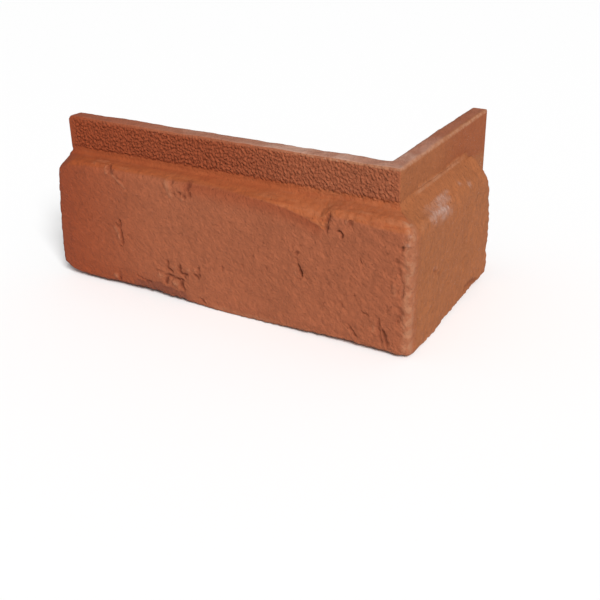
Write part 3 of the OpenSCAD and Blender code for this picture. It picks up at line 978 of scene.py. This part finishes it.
    def stipple_joint(self, slip, sizes):
        """Worm-like stipple on the long leg's joint strip, over ground levelled for it"""
        skin = Skin(slip, sizes)
        select_points(slip, skin.long & (abs(skin.out) < 1.3) & (skin.facing > 0.2)
                      & (skin.up > skin.face_top + 0.3) & (skin.up < skin.top - 1.0))
        ground = (0, LOW.y + sizes.projection, 0)
        bpy.ops.transform.resize(value=(1, 0, 1), center_override=ground)
        bpy.ops.object.mode_set(mode="OBJECT")
        bpy.ops.object.select_all(action="DESELECT")
        bpy.ops.object.empty_add(rotation=(0, -DRAG, 0))
        lean = bpy.context.active_object
        lean.scale = (0.85, 1, 1.45)
        press(slip, "stipple", stippled(Skin(slip, sizes)), sizes.stipple_depth,
              clouds("stipple", sizes.stipple_size, 1), 0.5, lean=lean)
        only(lean)
        bpy.ops.object.delete()

    def thin_back(self, slip, sizes):
        """Keeps few faces on the plain back, inside the corner and underneath"""
        skin = Skin(slip, sizes)
        hidden = (skin.out < -2.5) & (abs(skin.rising) < 0.5)
        underneath = (skin.up < 0) & (skin.rising < -0.8)
        back = hidden | underneath
        share = np.count_nonzero(back) / len(back)
        apply_modifier(slip, "DECIMATE", "thin back", decimate_type="COLLAPSE",
                       ratio=1 - share * (1 - sizes.back_faces),
                       vertex_group=paint(slip, "back", back.astype(float)),
                       vertex_group_factor=1000.0)


class SLIP_OT_studio(bpy.types.Operator):
    """Lays the pale floor, sets the lights and places the camera"""
    bl_idname = "slip.studio"
    bl_label = "Studio"
    bl_options = {"REGISTER", "UNDO"}

    def execute(self, context):
        self.lay_floor(context.scene.slip_colours)
        self.light(context.scene, context.scene.slip_studio)
        self.place_camera(context.scene, context.scene.slip_studio)
        return {"FINISHED"}

    def lay_floor(self, colours):
        """A wide pale floor under the slip"""
        bpy.ops.object.select_all(action="DESELECT")
        bpy.ops.mesh.primitive_plane_add(size=8, location=(0, 0, LOW.z))
        floor = bpy.context.active_object
        floor.name = "floor"
        floor.data.materials.append(plain_floor(colours))
        bpy.ops.object.transform_apply(location=True, rotation=True, scale=True)

    def light(self, scene, studio):
        """An even white sky, and one soft sun; at azimuth 0 it is before the long face"""
        world = bpy.data.worlds.new("studio")
        world.use_nodes = True
        sky = world.node_tree.nodes["Background"]
        sky.inputs["Color"].default_value = (1, 1, 1, 1)
        sky.inputs["Strength"].default_value = studio.sky_strength
        scene.world = world
        level = math.cos(studio.sun_elevation)
        toward = Vector((math.sin(studio.sun_azimuth) * level,
                         -math.cos(studio.sun_azimuth) * level,
                         math.sin(studio.sun_elevation)))
        bpy.ops.object.light_add(type="SUN", location=toward * 2)
        sun = bpy.context.active_object
        sun.name = "key"
        sun.data.energy = studio.sun_strength
        sun.data.angle = studio.sun_softness
        sun.rotation_euler = toward.to_track_quat("Z", "Y").to_euler()

    def place_camera(self, scene, studio):
        """The camera, turned, dipped and rolled from looking straight along the bed"""
        bpy.ops.object.camera_add(location=studio.camera_place)
        camera = bpy.context.active_object
        camera.name = "camera"
        camera.data.lens = studio.lens
        camera.data.sensor_width = 36.0
        turn = (Matrix.Rotation(studio.camera_azimuth, 4, "Z")
                @ Matrix.Rotation(math.pi / 2 - studio.camera_dip, 4, "X")
                @ Matrix.Rotation(studio.camera_roll, 4, "Z"))
        camera.rotation_euler = turn.to_euler()
        scene.camera = camera
        scene.view_settings.view_transform = "Standard"


class SLIP_PT_panel(bpy.types.Panel):
    """Sidebar panel with the slip's settings and steps"""
    bl_idname = "SLIP_PT_panel"
    bl_label = "Corner Brick Slip"
    bl_space_type = "VIEW_3D"
    bl_region_type = "UI"
    bl_category = "Brick Slip"

    def draw(self, context):
        layout = self.layout
        scene = context.scene
        for settings in (scene.slip_sizes, scene.slip_colours, scene.slip_studio):
            box = layout.box()
            for name in settings.__annotations__:
                box.prop(settings, name)
        layout.operator(SLIP_OT_clay_slip.bl_idname)
        layout.operator(SLIP_OT_studio.bl_idname)


CLASSES = (SlipSizes, SlipColours, SlipStudio, SLIP_OT_clay_slip, SLIP_OT_studio,
           SLIP_PT_panel)


def register():
    for cls in CLASSES:
        bpy.utils.register_class(cls)
    bpy.types.Scene.slip_sizes = PointerProperty(type=SlipSizes)
    bpy.types.Scene.slip_colours = PointerProperty(type=SlipColours)
    bpy.types.Scene.slip_studio = PointerProperty(type=SlipStudio)


def unregister():
    del bpy.types.Scene.slip_studio
    del bpy.types.Scene.slip_colours
    del bpy.types.Scene.slip_sizes
    for cls in reversed(CLASSES):
        bpy.utils.unregister_class(cls)


def main():
    register()
    bpy.ops.slip.clay_slip()
    bpy.ops.slip.studio()


if __name__ == "__main__":
    main()
